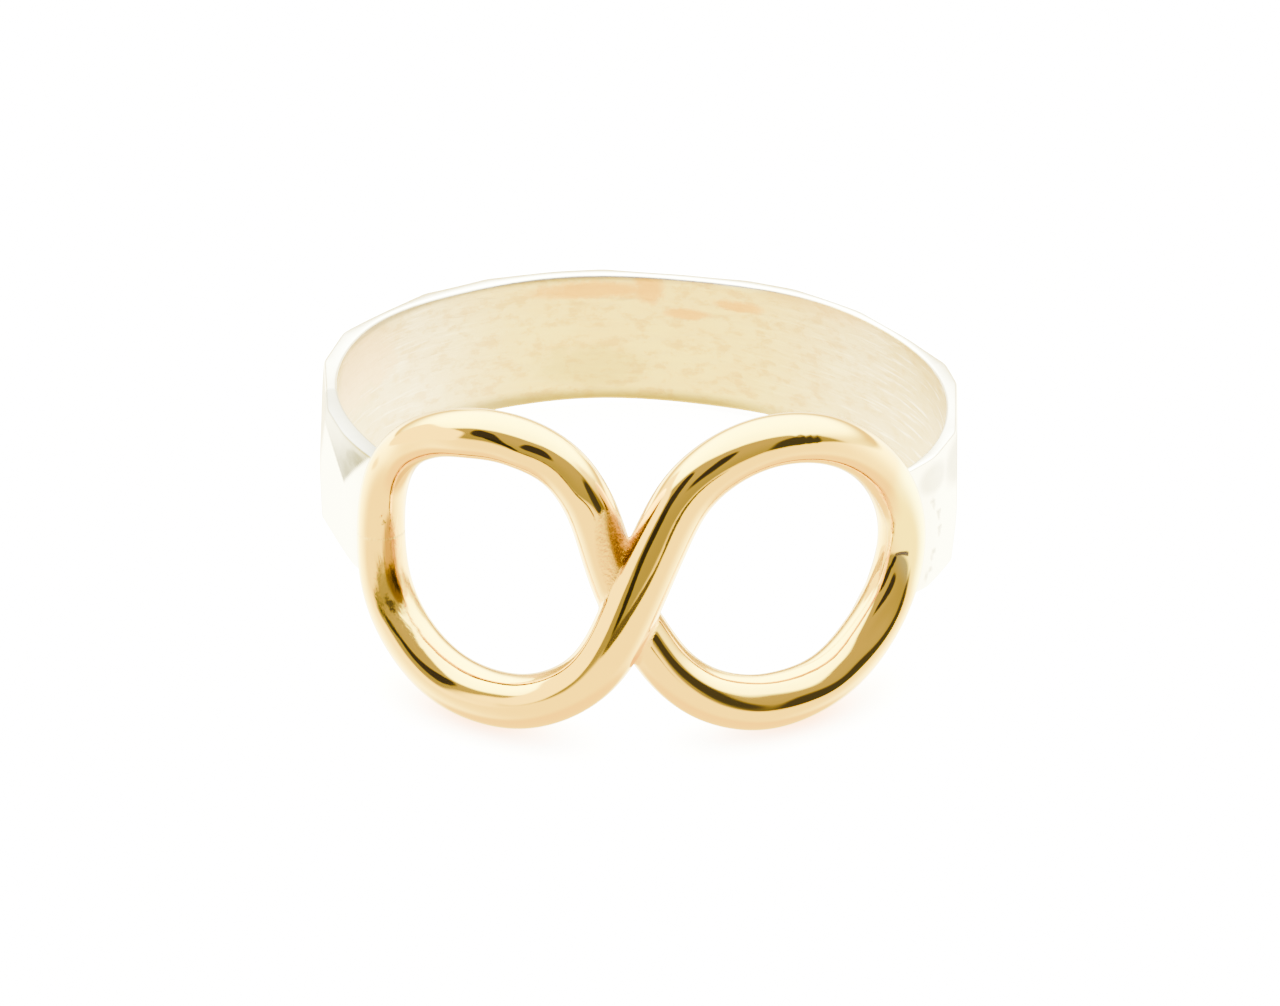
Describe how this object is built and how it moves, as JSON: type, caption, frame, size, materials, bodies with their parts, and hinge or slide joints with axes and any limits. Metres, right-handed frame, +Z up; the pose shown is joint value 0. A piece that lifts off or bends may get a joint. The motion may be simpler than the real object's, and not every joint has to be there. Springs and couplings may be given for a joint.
{
  "type": "infinity ring",
  "caption": "Finger ring lying on its side: a hammered silver-coloured band, open at the front, whose ends meet a round gold-coloured wire bent in a figure of eight",
  "frame": {"origin": "on the surface that the ring rests on, under the middle of its bounding box", "axes": "+Z up from that surface, close to the finger's axis; -Y towards the figure of eight; +X to the right of the figure as seen from its front"},
  "size_m": [0.0184, 0.0204, 0.0094],
  "materials": {
    "silver": "hammered and polished outside, satin inside",
    "gold": "polished, with fine scratches"
  },
  "bodies": {
    "root": {"band": "silver", "infinity_wire": "gold"}
  },
  "joints": []
}
